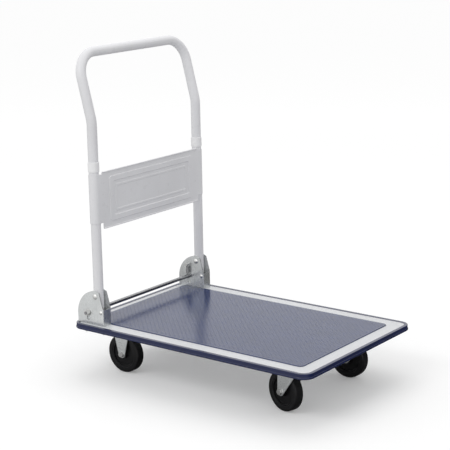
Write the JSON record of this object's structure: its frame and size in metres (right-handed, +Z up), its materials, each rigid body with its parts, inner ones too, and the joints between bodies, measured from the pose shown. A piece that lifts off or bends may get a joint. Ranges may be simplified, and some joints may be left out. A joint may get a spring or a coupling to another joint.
{
  "type": "folding platform cart",
  "caption": "Flat-deck platform cart with a fold-down tubular handle, edge bumper, foot release bar, rigid casters at the handle end and swivel casters at the front.",
  "frame": {"origin": "on the floor under the middle of the deck", "axes": "+X along the deck away from the handle, +Y to the cart's left, +Z up"},
  "size_m": [0.72, 0.472, 0.8303],
  "materials": {
    "deck_paint": "light grey-white powder coat",
    "mat": "navy-grey anti-slip vinyl mat, short raised bars, half gloss",
    "bumper": "navy soft PVC edging, satin",
    "zinc": "bright zinc-plated sheet steel",
    "zinc_fastener": "zinc-plated fasteners",
    "steel": "plain turned steel",
    "handle_paint": "light grey powder coat",
    "white_plastic": "white moulded plastic",
    "tyre": "black solid rubber tyre, matt",
    "hub": "black moulded plastic wheel centre"
  },
  "bodies": {
    "platform": {"deck_tray": "deck_paint", "deck_mat": "mat", "edge_bumper": "bumper", "rear_cross_channel": "deck_paint", "front_cross_channel": "deck_paint", "left_underside_rail": "deck_paint", "right_underside_rail": "deck_paint", "left_hinge_bracket": "zinc", "right_hinge_bracket": "zinc", "handle_pivot_rivets": "zinc_fastener", "handle_stop_rivets": "zinc_fastener", "handle_stop_sleeves": "steel", "bracket_bolts": "zinc_fastener", "bracket_nuts": "zinc_fastener", "release_springs": "steel", "spring_studs": "zinc_fastener", "rear_left_caster_frame": "zinc", "rear_right_caster_frame": "zinc", "rear_caster_plate_bolts": "zinc_fastener", "rear_caster_plate_nuts": "zinc_fastener", "front_caster_plate_bolts": "zinc_fastener", "front_caster_plate_nuts": "zinc_fastener", "rear_left_axle_bolt": "zinc_fastener", "rear_left_axle_nut": "zinc_fastener", "rear_left_axle_sleeve": "steel", "rear_right_axle_bolt": "zinc_fastener", "rear_right_axle_nut": "zinc_fastener", "rear_right_axle_sleeve": "steel", "front_left_caster_plate": "zinc", "front_right_caster_plate": "zinc", "front_kingpins": "zinc_fastener"},
    "handle": {"left_lower_tube": "handle_paint", "right_lower_tube": "handle_paint", "handle_panel": "handle_paint", "upper_bow": "handle_paint", "tube_collars": "white_plastic", "handle_pivot_bushes": "steel", "tube_end_plugs": "white_plastic"},
    "release_bar": {"release_bar": "steel", "release_bar_washers": "zinc_fastener", "release_bar_nuts": "zinc_fastener"},
    "front_left_swivel": {"front_left_swivel_fork": "zinc", "front_left_swivel_balls": "zinc_fastener", "front_left_axle_bolt": "zinc_fastener", "front_left_axle_nut": "zinc_fastener", "front_left_axle_sleeve": "steel"},
    "front_right_swivel": {"front_right_swivel_fork": "zinc", "front_right_swivel_balls": "zinc_fastener", "front_right_axle_bolt": "zinc_fastener", "front_right_axle_nut": "zinc_fastener", "front_right_axle_sleeve": "steel"},
    "rear_left_wheel": {"rear_left_tyre": "tyre", "rear_left_wheel_hub": "hub"},
    "rear_right_wheel": {"rear_right_tyre": "tyre", "rear_right_wheel_hub": "hub"},
    "front_left_wheel": {"front_left_tyre": "tyre", "front_left_wheel_hub": "hub"},
    "front_right_wheel": {"front_right_tyre": "tyre", "front_right_wheel_hub": "hub"}
  },
  "joints": [
    {"name": "handle_fold", "type": "hinge", "parent": "platform", "child": "handle", "pos_m": [-0.29, 0, 0.213], "axis": [0, 1, 0], "range_deg": [0, 97]},
    {"name": "release_bar_press", "type": "slide", "parent": "platform", "child": "release_bar", "axis": [0, 0, -1], "range_m": [0, 0.016], "stiffness_N_per_m": 400, "springref_m": -0.02, "deforming": ["release_springs"]},
    {"name": "front_left_swivel_turn", "type": "hinge", "parent": "platform", "child": "front_left_swivel", "pos_m": [0.2605, 0.144, 0.1055], "axis": [0, 0, 1], "continuous": true},
    {"name": "front_right_swivel_turn", "type": "hinge", "parent": "platform", "child": "front_right_swivel", "pos_m": [0.2605, -0.144, 0.1055], "axis": [0, 0, 1], "continuous": true},
    {"name": "rear_left_wheel_spin", "type": "hinge", "parent": "platform", "child": "rear_left_wheel", "pos_m": [-0.2625, 0.14, 0.05], "axis": [0, 1, 0], "continuous": true},
    {"name": "rear_right_wheel_spin", "type": "hinge", "parent": "platform", "child": "rear_right_wheel", "pos_m": [-0.2625, -0.14, 0.05], "axis": [0, 1, 0], "continuous": true},
    {"name": "front_left_wheel_spin", "type": "hinge", "parent": "front_left_swivel", "child": "front_left_wheel", "pos_m": [0.2315, 0.14451, 0.05], "axis": [0.0175, 0.9998, 0], "continuous": true},
    {"name": "front_right_wheel_spin", "type": "hinge", "parent": "front_right_swivel", "child": "front_right_wheel", "pos_m": [0.23236, -0.13698, 0.05], "axis": [0.2419, 0.9703, 0], "continuous": true}
  ]
}
